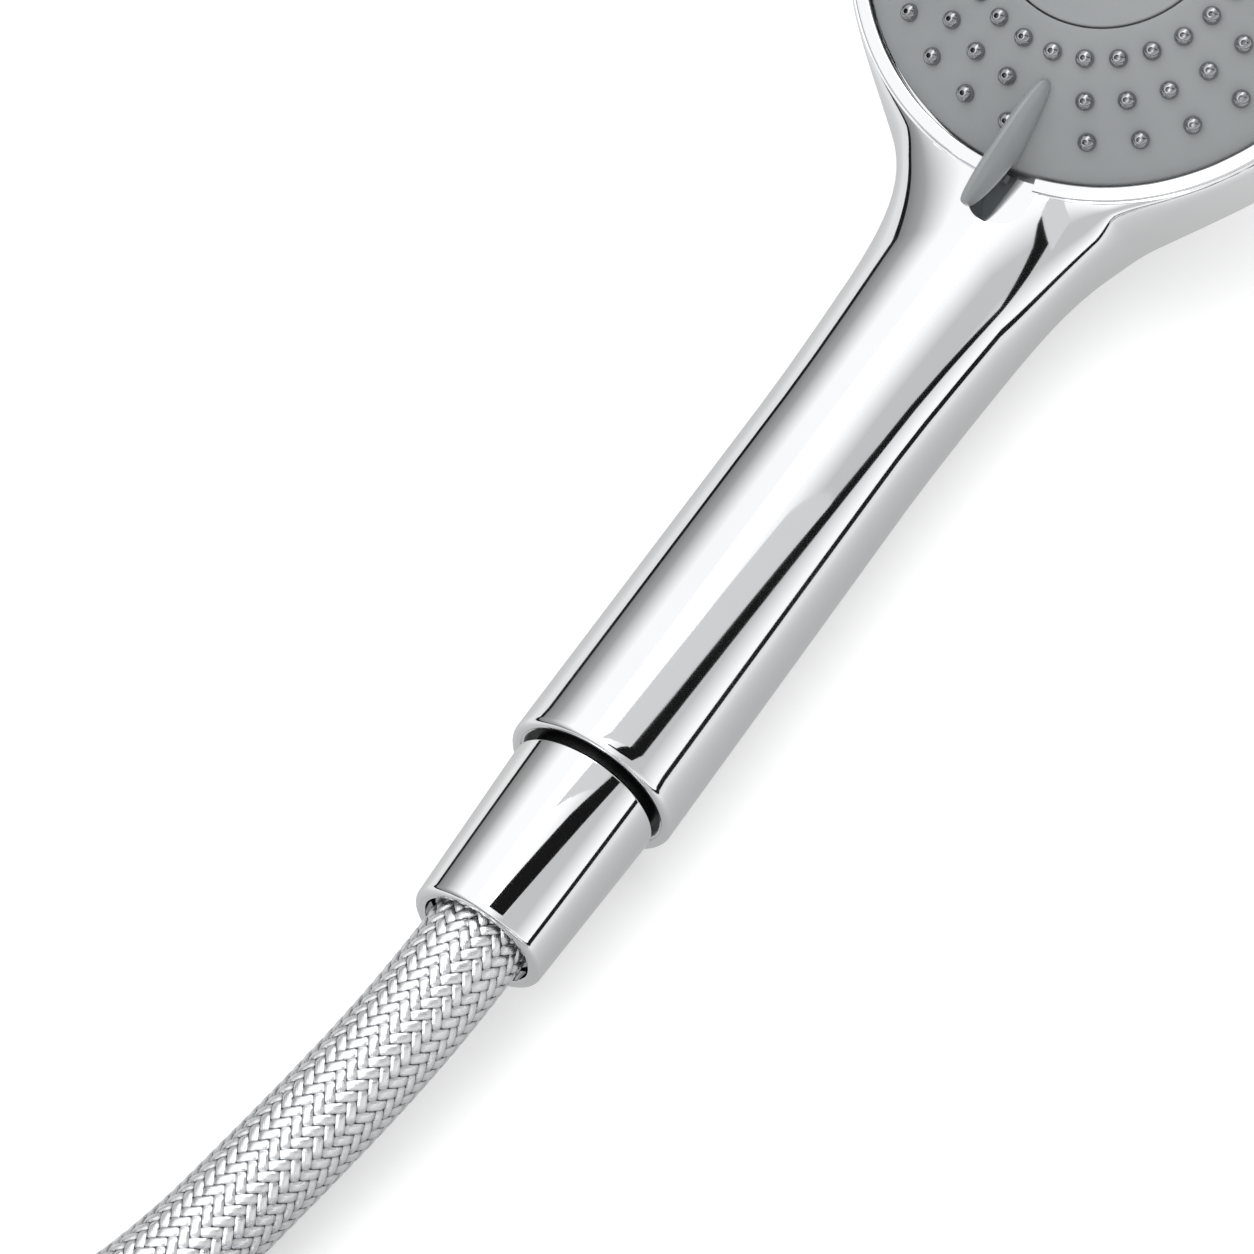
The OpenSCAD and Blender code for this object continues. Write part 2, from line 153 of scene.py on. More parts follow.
def lathe(name, outline, place, segments=192, closed=True, start=0.0, span=360.0):
    """Turned piece: the outline (radius, height) swept round local Z. A part turn has flat ends."""
    full = span >= 360
    columns = segments if full else segments + 1
    points, faces = [], []
    for i in range(columns):
        a = math.radians(start + span * i / segments)
        points += [(r * math.cos(a), r * math.sin(a), z) for r, z in outline]
    n = len(outline)
    rows = n if closed else n - 1
    for i in range(segments):
        a, b = i * n, ((i + 1) % columns) * n
        for k in range(rows):
            m = (k + 1) % n
            faces.append((a + k, b + k, b + m, a + m))
    if not full:
        faces.append(tuple(range(n - 1, -1, -1)))
        faces.append(tuple(segments * n + k for k in range(n)))
    piece = add_mesh(name, points, faces, place)
    clean(piece)
    return smooth(piece)


def clean(piece):
    """Joins doubled points and turns every face outwards."""
    mesh = bmesh.new()
    mesh.from_mesh(piece.data)
    bmesh.ops.remove_doubles(mesh, verts=mesh.verts, dist=1e-7)
    bmesh.ops.dissolve_degenerate(mesh, edges=mesh.edges, dist=1e-8)
    bmesh.ops.recalc_face_normals(mesh, faces=mesh.faces)
    mesh.to_mesh(piece.data)
    mesh.free()


def combine(piece, operation, *tools):
    """Changes the piece by each tool's shape and removes the tools."""
    for tool in tools:
        change = piece.modifiers.new("change", "BOOLEAN")
        change.operation = operation
        change.solver = "EXACT"
        change.object = tool
    graph = bpy.context.evaluated_depsgraph_get()
    piece.data = bpy.data.meshes.new_from_object(piece.evaluated_get(graph))
    piece.modifiers.clear()
    for tool in tools:
        bpy.data.objects.remove(tool)


def finish_piece(piece, body, material, slot, *nodes):
    """Material and body of a finished piece, and the CAD nodes that it stands in for, which it hides. The
    slot argument is not used.
    """
    piece.data.materials.clear()
    for one in material if isinstance(material, (list, tuple)) else [material]:
        piece.data.materials.append(one)
    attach(piece, body)
    if nodes:
        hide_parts(*nodes)
    return piece


# ------------------------------------------------------------------ material helpers
def new_material(name, colour, metallic=0.0, roughness=0.5):
    """Material, its tree and its shader."""
    material = bpy.data.materials.new(name)
    material.use_nodes = True
    shader = material.node_tree.nodes["Principled BSDF"]
    shader.inputs["Base Color"].default_value = (*colour, 1)
    shader.inputs["Metallic"].default_value = metallic
    shader.inputs["Roughness"].default_value = roughness
    return material, material.node_tree, shader


def object_noise(tree, scale, detail=3.0):
    """Noise fixed to the object."""
    place = tree.nodes.new("ShaderNodeTexCoord")
    noise = tree.nodes.new("ShaderNodeTexNoise")
    noise.inputs["Scale"].default_value = scale
    noise.inputs["Detail"].default_value = detail
    tree.links.new(place.outputs["Object"], noise.inputs["Vector"])
    return noise.outputs["Fac"]


def spread(tree, value, low, high):
    """The value, from its usual 0.3 to 0.7, spread over low to high."""
    ramp = tree.nodes.new("ShaderNodeMapRange")
    ramp.inputs["From Min"].default_value = 0.3
    ramp.inputs["From Max"].default_value = 0.7
    ramp.inputs["To Min"].default_value = low
    ramp.inputs["To Max"].default_value = high
    tree.links.new(value, ramp.inputs["Value"])
    return ramp.outputs["Result"]


def blend_colours(tree, value, first, second):
    """First colour where the value is 0, second where it is 1."""
    mix = tree.nodes.new("ShaderNodeMix")
    mix.data_type = "RGBA"
    mix.inputs["A"].default_value = (*first, 1)
    mix.inputs["B"].default_value = (*second, 1)
    tree.links.new(value, mix.inputs["Factor"])
    return mix.outputs["Result"]


def bump(tree, shader, value, strength, distance):
    """Relief from the value, as shading only."""
    node = tree.nodes.new("ShaderNodeBump")
    node.inputs["Strength"].default_value = strength
    node.inputs["Distance"].default_value = distance
    tree.links.new(value, node.inputs["Height"])
    tree.links.new(node.outputs["Normal"], shader.inputs["Normal"])


def moulded(name, colour, darker, metallic=0.0, rough=(0.35, 0.5), grain=2500, depth=0.00003):
    """Plastic, rubber or plain metal: uneven colour and gloss, and a fine grain."""
    material, tree, shader = new_material(name, colour, metallic)
    patches = object_noise(tree, 60)
    tree.links.new(blend_colours(tree, spread(tree, patches, 0, 1), darker, colour),
                   shader.inputs["Base Color"])
    tree.links.new(spread(tree, object_noise(tree, 220), *rough), shader.inputs["Roughness"])
    bump(tree, shader, object_noise(tree, grain, 2), 0.35, depth)
    return material


def chrome_plate(name):
    """Polished plate with the faint waviness and haze of plated plastic."""
    material, tree, shader = new_material(name, (0.83, 0.84, 0.855), 1.0)
    tree.links.new(spread(tree, object_noise(tree, 35), 0.035, 0.07), shader.inputs["Roughness"])
    tint = blend_colours(tree, spread(tree, object_noise(tree, 20), 0, 1),
                         (0.80, 0.81, 0.83), (0.86, 0.865, 0.87))
    tree.links.new(tint, shader.inputs["Base Color"])
    bump(tree, shader, object_noise(tree, 90, 1), 0.05, 0.00004)
    return material


CHROME = chrome_plate("chrome_plate")
GREY = moulded("grey_face_plastic", (0.300, 0.312, 0.322), (0.282, 0.294, 0.304),
               rough=(0.42, 0.52), grain=3000, depth=0.00003)
GREY_EDGE = moulded("grey_lever_plastic", (0.31, 0.325, 0.335), (0.29, 0.305, 0.315),
                    rough=(0.34, 0.44), grain=3000, depth=0.00002)
BEAD = moulded("bead_metal", (0.36, 0.365, 0.38), (0.30, 0.305, 0.32), 0.95, (0.1, 0.16), 900, 0.000001)
# Near black inside each jet's shallow hole: painted shade for the hole's depth.
JET_HOLE_SHADE = moulded("jet_hole_painted_shade", (0.012, 0.012, 0.013), (0.008, 0.008, 0.009), 0.0, (0.6, 0.8))
NATURAL = moulded("natural_plastic", (0.74, 0.75, 0.73), (0.68, 0.69, 0.68), rough=(0.4, 0.5))
RUBBER = moulded("black_rubber", (0.022, 0.022, 0.023), (0.015, 0.015, 0.016), rough=(0.55, 0.75))
BRASS = moulded("turned_brass", (0.70, 0.50, 0.22), (0.60, 0.42, 0.18), 1.0, (0.22, 0.36), 1400)
# Near-black brass: painted shade for the dark gap between the cone nut and the handle's lip.
BRASS_PAINTED_SHADE = moulded("brass_painted_shade", (0.05, 0.05, 0.052), (0.035, 0.035, 0.036), 0.9, (0.25, 0.4), 1400)
STEEL = moulded("plain_steel", (0.58, 0.59, 0.60), (0.50, 0.51, 0.52), 1.0, (0.22, 0.36), 1600)
GREEN = moulded("green_plastic", (0.10, 0.34, 0.07), (0.08, 0.28, 0.06), rough=(0.35, 0.45))
ORANGE = moulded("orange_plastic", (0.70, 0.18, 0.02), (0.60, 0.15, 0.02), rough=(0.35, 0.45))

# ------------------------------------------------------------------ the hose's route
HOSE_R = 7.8
COIL_MIDDLE = np.array((-266.0, -62.8, 0.0))
LANE_1 = 101.0
LANE_2 = LANE_1 - 2 * HOSE_R
LEAD_ROUTE = [
    (-117.4, 0, 14), (-126, 0.2, 14), (-135, 0.9, 13.4), (-144, 2, 12.7), (-152, 3.3, 11.9),
    (-160, 4.8, 11), (-168, 6.4, 10.1), (-178, 8.5, 9.1), (-190, 12, 8.4), (-202, 17.4, 7.9)]
# The last stretch climbs on top of the coil: angle and radius round the coil's middle, height.
TAIL_TURN = [
    (-30, 85.4, 7.8), (-18.5, 84.7, 8.4), (-6, 83.3, 11.2), (5.5, 82.1, 15.2), (18, 82.1, 19.6),
    (30, 84.2, 22.6), (42, 87.3, 23.8), (54, 90.5, 23.5), (66, 92.5, 22.3), (78, 93.2, 21.8),
    (90, 93.2, 21.8), (102, 93.2, 21.8), (114, 93.2, 21.8), (126, 93.2, 21.8), (138, 93.2, 21.8),
    (147, 93.2, 22.4), (156.5, 93.2, 24), (166, 93.2, 26.3), (175.5, 93.2, 28.8)]
HOSE_END = COIL_MIDDLE + (-93, -8, 29.8)
END_NUT = axes(Vector((1, 0, 0)), Vector((0, 0, -1)), SIDE, Vector(HOSE_END * MM))


def on_coil(degrees, radius, height):
    """Point round the coil's middle."""
    a = math.radians(degrees)
    return COIL_MIDDLE + (radius * math.cos(a), radius * math.sin(a), height)


def coil_points():
    """Two lanes, the second inside the first, with an even step from one to the other."""
    points = []
    for degrees in range(60, 690, 10):
        share = min(1, max(0, (degrees - 350) / 70))
        step = 2 * share * share if share < 0.5 else 1 - 2 * (1 - share) ** 2
        points.append(on_coil(degrees, LANE_1 + (LANE_2 - LANE_1) * step, HOSE_R))
    return points


def even_curve(points, step):
    """Smooth curve through the points, as points a step apart."""
    p = np.array(points, float)
    p = np.vstack([2 * p[0] - p[1], p, 2 * p[-1] - p[-2]])
    fine = []
    for a, b, c, d in zip(p, p[1:], p[2:], p[3:]):
        for t in np.linspace(0, 1, 40, endpoint=False):
            fine.append(0.5 * (2 * b + (c - a) * t + (2 * a - 5 * b + 4 * c - d) * t * t
                               + (3 * b - a - 3 * c + d) * t ** 3))
    fine = np.array(fine + [p[-2]])
    # A light smoothing takes out the small changes of bend at the given points.
    for _ in range(60):
        fine[1:-1] += 0.25 * (fine[:-2] + fine[2:] - 2 * fine[1:-1])
    along = np.concatenate([[0], np.cumsum(np.linalg.norm(np.diff(fine, axis=0), axis=1))])
    places = np.linspace(0, along[-1], int(round(along[-1] / step)) + 1)
    return np.stack([np.interp(places, along, fine[:, k]) for k in range(3)], axis=1), places


ROUTE = LEAD_ROUTE + coil_points() + [on_coil(*p) for p in TAIL_TURN] + [HOSE_END]
HOSE_LINE, HOSE_ALONG = even_curve(ROUTE, 0.25)
HOSE_LENGTH = float(HOSE_ALONG[-1])

# Braid: flat bundles of wires in two directions, each over two and under two of the other's.
CARRIERS = 22
BRAID_STEP = 2.23
BRAID_RELIEF = 0.42
# Shape of a bundle's crown, in bundle widths, and how far it drops at its sides and ends.
CROWN_HALF_WIDTH, CROWN_HALF_LENGTH = 0.46, 1.12
SIDE_DROP, END_DROP = 0.55, 0.95
# The braid is real relief up to here; the rest, out of the photo's view, has it as bump only.
DETAILED_LENGTH = 118.0
PLAIN_INSET = 0.08


def braid_height(along, around):
    """Height of the braid over its core, 0 in the gaps to about 1; around is in turns."""
    u = along / BRAID_STEP
    v = around * CARRIERS
    crowns = []
    for own, other, peak in ((v + u, v - u, 1), (v - u, v + u, 3)):
        row = np.floor(own)
        across = np.abs(own - row - 0.5)
        off = np.abs(np.mod(row + other - peak + 2, 4) - 2)
        side = SIDE_DROP * (across / CROWN_HALF_WIDTH) ** 6
        end = END_DROP * np.minimum(off / CROWN_HALF_LENGTH, 1.5) ** 3
        crowns.append(1 - side - end)
    return np.clip(np.maximum(*crowns), -0.25, 1)


def hose_tube(name, first, last, step, sides, braided):
    """Closed stretch of hose between two lengths along it, with its braid in relief or plain."""
    places = np.linspace(first, last, int(round((last - first) / step)) + 1)
    line = np.stack([np.interp(places, HOSE_ALONG, HOSE_LINE[:, k]) for k in range(3)], axis=1)
    ahead = np.gradient(line, axis=0)
    ahead /= np.linalg.norm(ahead, axis=1)[:, None]
    across = np.cross((0, 0, 1.0), ahead)
    across /= np.linalg.norm(across, axis=1)[:, None]
    up = np.cross(ahead, across)
    turns = np.arange(sides) / sides
    radius = np.full((len(places), sides), HOSE_R - PLAIN_INSET)
    if braided:
        radius = HOSE_R - BRAID_RELIEF + BRAID_RELIEF * braid_height(places[:, None], turns[None, :])
    around = 2 * math.pi * turns
    rim = np.cos(around)[None, :, None] * across[:, None] + np.sin(around)[None, :, None] * up[:, None]
    points = (line[:, None] + radius[:, :, None] * rim) * MM
    rows = len(places)
    faces = tube_faces(rows, sides)
    faces.append(tuple(range(sides - 1, -1, -1)))
    faces.append(tuple((rows - 1) * sides + k for k in range(sides)))
    piece = add_mesh(name, points.reshape(-1, 3), faces)
    # The braid's sheet: steps along the hose, and carriers round it.
    sheet = piece.data.uv_layers.new(name="braid")
    loop_u, loop_v = [], []
    for row in range(rows - 1):
        low, high = places[row] / BRAID_STEP, places[row + 1] / BRAID_STEP
        for k in range(sides):
            left, right = k / sides * CARRIERS, (k + 1) / sides * CARRIERS
            loop_u += [low, low, high, high]
            loop_v += [left, right, right, left]
    loop_u += [0.0] * (2 * sides)
    loop_v += [0.0] * (2 * sides)
    sheet.data.foreach_set("uv", np.stack([loop_u, loop_v], axis=1).ravel())
    piece.data.polygons.foreach_set("use_smooth", [True] * (len(faces) - 2) + [False] * 2)
    return piece


def join(name, pieces):
    """One object out of several."""
    with bpy.context.temp_override(active_object=pieces[0], selected_editable_objects=pieces):
        bpy.ops.object.join()
    pieces[0].name = name
    return pieces[0]


class Maths:
    """Short way to write a formula as math nodes."""

    def __init__(self, tree):
        self.tree = tree

    def __call__(self, operation, *values):
        node = self.tree.nodes.new("ShaderNodeMath")
        node.operation = operation
        for socket, value in zip(node.inputs, values):
            if isinstance(value, (int, float)):
                socket.default_value = value
            else:
                self.tree.links.new(value, socket)
        return node.outputs[0]


def wire_braid():
    """The braid's gaps and its bundles of fine wires, with painted shade from the crowns down into the gaps,
    and their uneven silver.
    """
    material, tree, shader = new_material("wire_braid", (0.78, 0.79, 0.80), 1.0, 0.3)
    sheet = tree.nodes.new("ShaderNodeUVMap")
    sheet.uv_map = "braid"
    parts = tree.nodes.new("ShaderNodeSeparateXYZ")
    tree.links.new(sheet.outputs["UV"], parts.inputs[0])
    m = Maths(tree)
    u, v = parts.outputs[0], parts.outputs[1]

    def family(own, other, peak):
        """Crowns and single wires of the bundles that run one way."""
        row = m("FLOOR", own)
        across = m("ABSOLUTE", m("SUBTRACT", m("SUBTRACT", own, row), 0.5))
        place = m("FLOORED_MODULO", m("ADD", m("ADD", row, other), 2.0 - peak), 4.0)
        off = m("ABSOLUTE", m("SUBTRACT", place, 2.0))
        side = m("MULTIPLY", m("POWER", m("DIVIDE", across, CROWN_HALF_WIDTH), 6.0), SIDE_DROP)
        stretch = m("MINIMUM", m("DIVIDE", off, CROWN_HALF_LENGTH), 1.5)
        end = m("MULTIPLY", m("POWER", stretch, 3.0), END_DROP)
        wires = m("MULTIPLY", m("ABSOLUTE", m("SINE", m("MULTIPLY", own, 6 * math.pi))), 0.16)
        return m("SUBTRACT", m("SUBTRACT", 1.0, side), end), wires

    i, j = m("ADD", v, u), m("SUBTRACT", v, u)
    crown_a, wires_a = family(i, j, 1.0)
    crown_b, wires_b = family(j, i, 3.0)
    first = m("GREATER_THAN", crown_a, crown_b)
    crown = m("MAXIMUM", m("MAXIMUM", crown_a, crown_b), -0.2)
    wires = m("ADD", m("MULTIPLY", wires_a, first),
              m("MULTIPLY", wires_b, m("SUBTRACT", 1.0, first)))
    # Painted shade: the colour runs from bright on the bundles' crowns, darker down their sides and ends
    # where they dip under the others, to near black in the gaps.
    shade = tree.nodes.new("ShaderNodeValToRGB")
    stops = shade.color_ramp.elements
    stops[0].position, stops[0].color = 0.12, (0.05, 0.05, 0.055, 1)
    stops[1].position, stops[1].color = 1.0, (0.92, 0.93, 0.94, 1)
    middle = stops.new(0.42)
    middle.color = (0.66, 0.67, 0.69, 1)
    tree.links.new(crown, shade.inputs["Fac"])
    tree.links.new(shade.outputs["Color"], shader.inputs["Base Color"])
    uneven = spread(tree, object_noise(tree, 400), 0.22, 0.36)
    tree.links.new(uneven, shader.inputs["Roughness"])
    bump(tree, shader, m("ADD", crown, wires), 0.5, 0.00016)
    return material


BRAID = wire_braid()


def add_hose():
    """The braided hose, with the hex nut at its far end."""
    near = hose_tube("near", 0, DETAILED_LENGTH, 0.27, CARRIERS * 9, True)
    far = hose_tube("far", DETAILED_LENGTH, HOSE_LENGTH, 4.0, CARRIERS * 2, False)
    hose = join("braided_hose", [near, far])
    finish_piece(hose, "handset", BRAID, "hose_braid", "hose_lead", "hose_coil", "hose_tail")
    add_hex_nut()


NUT_ACROSS_FLATS = 24


def add_hex_nut():
    """Chamfered hexagon with a round collar, bored through."""
    body = lathe("hex_nut_skin", round_corners([
        (0, -27, 0), (12.2, -27, 0), (14.2, -25.9, 0), (14.2, -18.1, 0), (12.2, -17, 0), (11.4, -17, 0),
        (11.4, -10.2, 0.5), (0, -10.2, 0)]), END_NUT, 96)
    side = NUT_ACROSS_FLATS / math.sqrt(3)
    corners = [(side * math.cos(math.radians(30 + 60 * k)), side * math.sin(math.radians(30 + 60 * k)))
               for k in range(6)]
    points = [(x, y, z) for z in (-28, -9) for x, y in corners]
    faces = [tuple(range(5, -1, -1)), tuple(range(6, 12))]
    faces += [(k, (k + 1) % 6, 6 + (k + 1) % 6, 6 + k) for k in range(6)]
    prism = add_mesh("prism", points, faces, END_NUT)
    bore = lathe("bore", [(0, -28), (9.32, -28), (9.32, -18.3), (9.6, -18.3), (9.6, -13.9),
                          (8.9, -13.9), (8.9, -9), (0, -9)], END_NUT, 96)
    combine(body, "INTERSECT", prism)
    combine(body, "DIFFERENCE", bore)
    smooth(body, 25)
    return finish_piece(body, "tap_nut", CHROME, "chrome_body", "hex_nut")


add_hose()

# ------------------------------------------------------------------ the chrome body
# Lengths are in millimetres, in the handle's frame: x along it from its open end, z up from its axis.
FACE_X = (FACE_MIDDLE - HANDLE_START).x / MM
FACE_Z = (FACE_MIDDLE - HANDLE_START).z / MM
COS, SIN = math.cos(TILT), math.sin(TILT)
BOWL_R, BOWL_WIDE_AT, BOWL_DEPTH, BOWL_POWER = 45.8, -9.0, 22.0, 2.8
RIM_TOP = 0.2
WALL_TAPER = 0.7
NECK_EXTRA_WIDTH = 1.9
NECK_WIDENS = (70, 126)
HANDLE_BORE_R = 11.8
HANDLE_ROUND_END = 128
# The fillet at the neck: how wide it is, how far it keeps off the handle and how high it goes.
FILLET, FILLET_OFF_HANDLE, FILLET_TOP = 30, 7, 0.3
RIM_ROUNDING, NECK_ROUNDING, NECK_REACH = 2.2, 5, 20
UNDERSIDE_BLEND = 3
UNDERSIDE_FROM = (85, 115)
# Angles round the face, from the head's top, of what stands at the neck.
LEVER_NOTCH = (176.4, 187.5)
POCKET_MIDDLE = 182.7
LEVER_ANGLE = 178.5


def soft_step(x, low, high):
    """Rises smoothly from 0 at low to 1 at high."""
    t = np.clip((x - low) / (high - low), 0, 1)
    return t * t * (3 - 2 * t)


def soft_min(a, b, reach):
    """The smaller of two, rounded where they differ by less than the reach."""
    gap = np.maximum(reach - np.abs(a - b), 0) / reach
    return np.minimum(a, b) - gap * gap * reach / 4


def soft_max(a, b, reach):
    """The larger of two, rounded in the same way."""
    return -soft_min(-a, -b, reach)


def body_distance(p):
    """Signed distance, nearly, to the handle and bowl blended into each other."""
    x, y, z = p[..., 0], p[..., 1], p[..., 2]
    wide = HANDLE_R + NECK_EXTRA_WIDTH * soft_step(x, *NECK_WIDENS)
    past_end = np.maximum(x - HANDLE_ROUND_END, 0)
    handle = np.sqrt(past_end ** 2 + (y * HANDLE_R / wide) ** 2 + z * z) - HANDLE_R
    out = (x - FACE_X) * COS + (z - FACE_Z) * SIN
    h = -(x - FACE_X) * SIN + (z - FACE_Z) * COS
    r = np.sqrt(out * out + y * y) + 1e-9
    # The bowl is a superellipse below its widest level, and a slightly tapered wall above.
    below = np.maximum(BOWL_WIDE_AT - h, 1e-9)
    level = ((r / BOWL_R) ** BOWL_POWER + (below / BOWL_DEPTH) ** BOWL_POWER) ** (1 / BOWL_POWER)
    slope = level ** (1 - BOWL_POWER)
    slope_r = slope * (r / BOWL_R) ** (BOWL_POWER - 1) / BOWL_R
    slope_h = slope * (below / BOWL_DEPTH) ** (BOWL_POWER - 1) / BOWL_DEPTH
    back = (level - 1) / np.sqrt(slope_r ** 2 + slope_h ** 2 + 1e-9)
    wall = r - (BOWL_R - WALL_TAPER * (np.maximum(h - BOWL_WIDE_AT, 0) / (RIM_TOP - BOWL_WIDE_AT)) ** 2)
    bowl = np.where(h < BOWL_WIDE_AT, back, wall)
    # A wide fillet fills the corner round the neck, up to the level of the face's rim.
    rounding = RIM_ROUNDING + NECK_ROUNDING * (1 - soft_step(handle - bowl, 0, NECK_REACH))
    web = soft_max(soft_min(handle + FILLET_OFF_HANDLE, bowl, FILLET), h - FILLET_TOP, rounding)
    joined = soft_min(handle, web, FILLET_OFF_HANDLE)
    # The underside of the neck goes no lower than the handle.
    blend = 0.02 + UNDERSIDE_BLEND * soft_step(x, *UNDERSIDE_FROM)
    return soft_max(joined, -HANDLE_R - z, blend)


def body_slope(p):
    """Direction straight out of the blended surface."""
    step = 0.01
    slope = np.stack([body_distance(p + d) - body_distance(p - d) for d in np.eye(3) * step], axis=-1)
    return slope / (np.linalg.norm(slope, axis=-1, keepdims=True) + 1e-9)


def body_stations():
    """Middle and direction of each cross-section, along the handle, up a bend and across the head."""
    bend = 100.0
    level = -12.0
    z_end = bend * (1 - COS)
    x_end = FACE_X - (level - (z_end - FACE_Z) * COS) / SIN
    x_start = x_end - bend * SIN
    along = np.concatenate([[4, 10], np.linspace(20, 88, 9), np.arange(90, x_start, 1.5)])
    stations = [((x, 0, 0), 0.0) for x in along]
    for t in np.linspace(0, 1, 70):
        a = t * TILT
        stations.append(((x_start + bend * math.sin(a), 0, bend * (1 - math.cos(a))), a))
    out_end = (x_end - FACE_X) * COS + (z_end - FACE_Z) * SIN
    for t in np.linspace(0, math.pi / 2, 80)[1:]:
        out = out_end + (BOWL_R - 0.02 - out_end) * math.sin(t)
        stations.append(((FACE_X + out * COS - level * SIN, 0, FACE_Z + out * SIN + level * COS), TILT))
    return stations


def body_grid():
    """Rings of points: up the bore, round the open end's lip, then out from each station's middle."""
    sides = 288
    around = 2 * math.pi * np.arange(sides) / sides
    widest = 75.0
    halvings = 40
    lip = 1.1
    edge = HANDLE_R - lip
    turned = [(HANDLE_BORE_R, 24), (HANDLE_BORE_R, 12), (HANDLE_BORE_R, 3)]
    turned += [(edge - lip * math.cos(t), 2 * lip - lip * math.sin(t)) for t in np.linspace(0, math.pi, 13)]
    rings = [np.stack([np.full(sides, x), r * np.cos(around), r * np.sin(around)], axis=1)
             for r, x in turned]
    for middle, a in body_stations():
        rise = np.array((-math.sin(a), 0, math.cos(a)))
        ray = np.cos(around)[:, None] * np.array((0, 1.0, 0)) + np.sin(around)[:, None] * rise
        near, far = np.zeros(sides), np.full(sides, widest)
        for _ in range(halvings):
            half = (near + far) / 2
            inside = body_distance(np.array(middle) + half[:, None] * ray) < 0
            near, far = np.where(inside, half, near), np.where(inside, far, half)
        rings.append(np.array(middle) + near[:, None] * ray)
    points = np.concatenate(rings + [rings[0].mean(axis=0)[None], rings[-1].mean(axis=0)[None]])
    faces = tube_faces(len(rings), sides)
    last = (len(rings) - 1) * sides
    faces += [(len(points) - 2, (k + 1) % sides, k) for k in range(sides)]
    faces += [(len(points) - 1, last + k, last + (k + 1) % sides) for k in range(sides)]
    return points, faces


def pocket_tool():
    """Finger pocket: a round-ended slot with a rounded floor."""
    radius, at, inward, floor, top = 4.9, 47.2, 9, -1.4, 12
    outline = [(at - inward, -radius), (at, -radius)]
    outline += [(at + radius * math.cos(a), radius * math.sin(a)) for a in np.linspace(-1.4, 1.4, 25)]
    outline += [(at, radius), (at - inward, radius)]
    turn = Matrix.Rotation(math.radians(POCKET_MIDDLE), 4, "Z")
    mesh = bmesh.new()
    low = [mesh.verts.new((x, y, floor)) for x, y in outline]
    high = [mesh.verts.new((x, y, top)) for x, y in outline]
    count = len(outline)
    floor_face = mesh.faces.new(low[::-1])
    mesh.faces.new(high)
    for k in range(count):
        mesh.faces.new((low[k], low[(k + 1) % count], high[(k + 1) % count], high[k]))
    bmesh.ops.bevel(mesh, geom=list(floor_face.edges), offset=1.0, segments=5, profile=0.5, affect="EDGES")
    bmesh.ops.recalc_face_normals(mesh, faces=mesh.faces)
    data = bpy.data.meshes.new("pocket")
    mesh.to_mesh(data)
    mesh.free()
    data.transform(FACE @ turn)
    tool = bpy.data.objects.new("pocket", data)
    bpy.context.scene.collection.objects.link(tool)
    return tool


def set_exact_normals(body):
    """Gives the blended surface its exact normals, so that its reflections run smoothly."""
    mesh = body.data
    count = len(mesh.loops)
    corner = np.empty(count * 3)
    mesh.corner_normals.foreach_get("vector", corner)
    corner = corner.reshape(-1, 3)
    place = np.empty(len(mesh.vertices) * 3)
    mesh.vertices.foreach_get("co", place)
    vertex = np.empty(count, dtype=np.int32)
    mesh.loops.foreach_get("vertex_index", vertex)
    p = (place.reshape(-1, 3)[vertex] - np.array(HANDLE_START)) / MM
    exact = body_slope(p)
    on_skin = (np.abs(body_distance(p)) < 0.03) & (p[:, 0] > 2.3)
    alike = (exact * corner).sum(axis=1) > 0.93
    use = on_skin & alike
    corner[use] = exact[use]
    mesh.normals_split_custom_set(corner.tolist())


def add_body():
    """Handle, neck and head in one piece, with the well for the face and ring, and the finger pocket."""
    points, faces = body_grid()
    body = add_mesh("chrome_body", points * MM + np.array(HANDLE_START), faces)
    clean(body)
    well = lathe("well", [
        (0, -4), (42.9, -4), (42.9, RIM_TOP), (44.4, RIM_TOP), (44.4, -0.7), (44.75, -0.7),
        (44.75, RIM_TOP), (44.95, 0.32), (44.95, 14), (0, 14)], FACE, 256)
    combine(body, "DIFFERENCE", well, pocket_tool())
    smooth(body, 30)
    set_exact_normals(body)
    finish_piece(body, "handset", CHROME, "chrome_body", "handset_shell")


add_body()


def add_trim_ring():
    """Bright ring round the face, open where the lever stands."""
    outline = round_corners([
        (42.15, -3, 0), (42.15, 0.9, 0.35), (44.45, 0.6, 0.35), (44.45, 0.1, 0), (42.8, 0.1, 0),
        (42.8, -3, 0)], closed=True)
    start, end = LEVER_NOTCH
    ring = lathe("trim_band", outline, FACE, 240, True, end, 360 - (end - start))
    finish_piece(ring, "handset", CHROME, "chrome_body", "trim_ring")


add_trim_ring()

# ------------------------------------------------------------------ the spray face
PLATE_R, DOME_H = 41.7, 12.0
DOME_R = (PLATE_R ** 2 + DOME_H ** 2) / (2 * DOME_H)
CAP_R = 19.0


def dome_height(r):
    """Height of the face's dome over its rim, at radius r."""
    return math.sqrt(DOME_R ** 2 - r * r) + DOME_H - DOME_R


